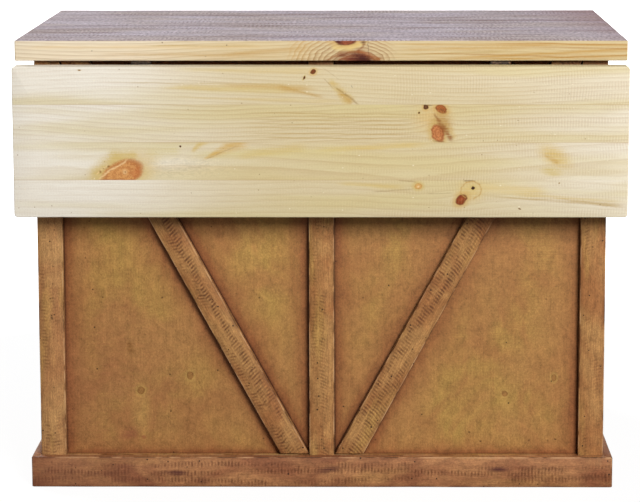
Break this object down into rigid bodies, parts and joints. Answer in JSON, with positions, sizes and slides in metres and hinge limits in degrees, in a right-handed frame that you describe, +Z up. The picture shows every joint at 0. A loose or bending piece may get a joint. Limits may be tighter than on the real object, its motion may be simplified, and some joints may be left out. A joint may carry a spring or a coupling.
{
  "type": "kitchen island",
  "caption": "Kitchen island with a pale board worktop, a hanging drop leaf on folding stays, and a brown-stained braced base with doors and drawers behind.",
  "frame": {"origin": "on the floor, under the middle of the box round the island with its leaf down", "axes": "+X along the worktop's length, +Z up; the leaf hangs towards -Y, the doors and drawers face +Y"},
  "size_m": [1.219, 0.8094, 0.914],
  "materials": {
    "pine_top": "satin",
    "brown_stain": "satin",
    "stained_panel": "satin",
    "plinth_stain": "satin",
    "bare_pine": "raw",
    "dark_bronze": "dark bronze",
    "steel": "zinc"
  },
  "bodies": {
    "base": {"worktop": "pine_top", "back_left_stile": "brown_stain", "back_right_stile": "brown_stain", "back_centre_stile": "brown_stain", "back_bottom_rails": "brown_stain", "back_left_brace": "brown_stain", "back_right_brace": "brown_stain", "back_panel": "stained_panel", "left_side_panel": "stained_panel", "right_side_panel": "stained_panel", "side_stiles": "brown_stain", "side_rails": "brown_stain", "plinth_back_board": "plinth_stain", "plinth_front_board": "plinth_stain", "plinth_side_boards": "plinth_stain", "plinth_blocks": "bare_pine", "floor_board": "brown_stain", "centre_divider": "brown_stain", "face_stiles": "brown_stain", "face_rails": "brown_stain", "left_shelf": "brown_stain", "right_shelf": "brown_stain", "shelf_pins": "steel", "worktop_cleats": "bare_pine", "base_screws": "steel", "drawer_runners": "bare_pine", "drawer_guides": "bare_pine", "drawer_kickers": "bare_pine", "drawer_stops": "bare_pine", "leaf_hinge_top_plates": "dark_bronze", "hinge_pins": "dark_bronze", "stay_body_brackets": "dark_bronze", "door_hinge_frame_plates": "dark_bronze", "door_catches": "steel"},
    "leaf": {"drop_leaf": "pine_top", "leaf_hinge_leaf_plates": "dark_bronze", "leaf_screws": "steel", "stay_leaf_brackets": "dark_bronze"},
    "left_lower_link": {"left_lower_link": "dark_bronze"},
    "left_upper_link": {"left_upper_link": "dark_bronze"},
    "left_door": {"left_door_frame": "brown_stain", "left_door_panel": "stained_panel", "left_door_brace": "brown_stain", "left_door_hinge_plates": "dark_bronze", "left_door_knob": "dark_bronze", "left_door_strike": "steel"},
    "left_drawer": {"left_drawer_front": "brown_stain", "left_drawer_box": "bare_pine", "left_drawer_knob": "dark_bronze"},
    "right_lower_link": {"right_lower_link": "dark_bronze"},
    "right_upper_link": {"right_upper_link": "dark_bronze"},
    "right_door": {"right_door_frame": "brown_stain", "right_door_panel": "stained_panel", "right_door_brace": "brown_stain", "right_door_hinge_plates": "dark_bronze", "right_door_knob": "dark_bronze", "right_door_strike": "steel"},
    "right_drawer": {"right_drawer_front": "brown_stain", "right_drawer_box": "bare_pine", "right_drawer_knob": "dark_bronze"}
  },
  "joints": [
    {"name": "leaf_lift", "type": "hinge", "parent": "base", "child": "leaf", "pos_m": [0, -0.35925, 0.8685], "axis": [-1, 0, 0], "range_deg": [0, 90]},
    {"name": "left_lower_link_turn", "type": "hinge", "parent": "base", "child": "left_lower_link", "pos_m": [-0.544, -0.34575, 0.7185], "axis": [1, 0, 0], "range_deg": [0, 45.76]},
    {"name": "left_upper_link_turn", "type": "hinge", "parent": "leaf", "child": "left_upper_link", "pos_m": [-0.544, -0.35525, 0.7185], "axis": [-1, 0, 0], "range_deg": [0, 39.29]},
    {"name": "left_door_swing", "type": "hinge", "parent": "base", "child": "left_door", "pos_m": [-0.5215, 0.37275, 0.3925], "axis": [0, 0, 1], "range_deg": [0, 110]},
    {"name": "left_drawer_slide", "type": "slide", "parent": "base", "child": "left_drawer", "axis": [0, 1, 0], "range_m": [0, 0.35]},
    {"name": "right_lower_link_turn", "type": "hinge", "parent": "base", "child": "right_lower_link", "pos_m": [0.544, -0.34575, 0.7185], "axis": [1, 0, 0], "range_deg": [0, 45.76]},
    {"name": "right_upper_link_turn", "type": "hinge", "parent": "leaf", "child": "right_upper_link", "pos_m": [0.544, -0.35525, 0.7185], "axis": [-1, 0, 0], "range_deg": [0, 39.29]},
    {"name": "right_door_swing", "type": "hinge", "parent": "base", "child": "right_door", "pos_m": [0.5215, 0.37275, 0.3925], "axis": [0, 0, -1], "range_deg": [0, 110]},
    {"name": "right_drawer_slide", "type": "slide", "parent": "base", "child": "right_drawer", "axis": [0, 1, 0], "range_m": [0, 0.35]}
  ],
  "couplings": [
    {"joint": "left_lower_link_turn", "follows": "leaf_lift", "ratio": 0.50836},
    {"joint": "left_upper_link_turn", "follows": "leaf_lift", "ratio": 0.43644},
    {"joint": "right_lower_link_turn", "follows": "leaf_lift", "ratio": 0.50836},
    {"joint": "right_upper_link_turn", "follows": "leaf_lift", "ratio": 0.43644}
  ]
}
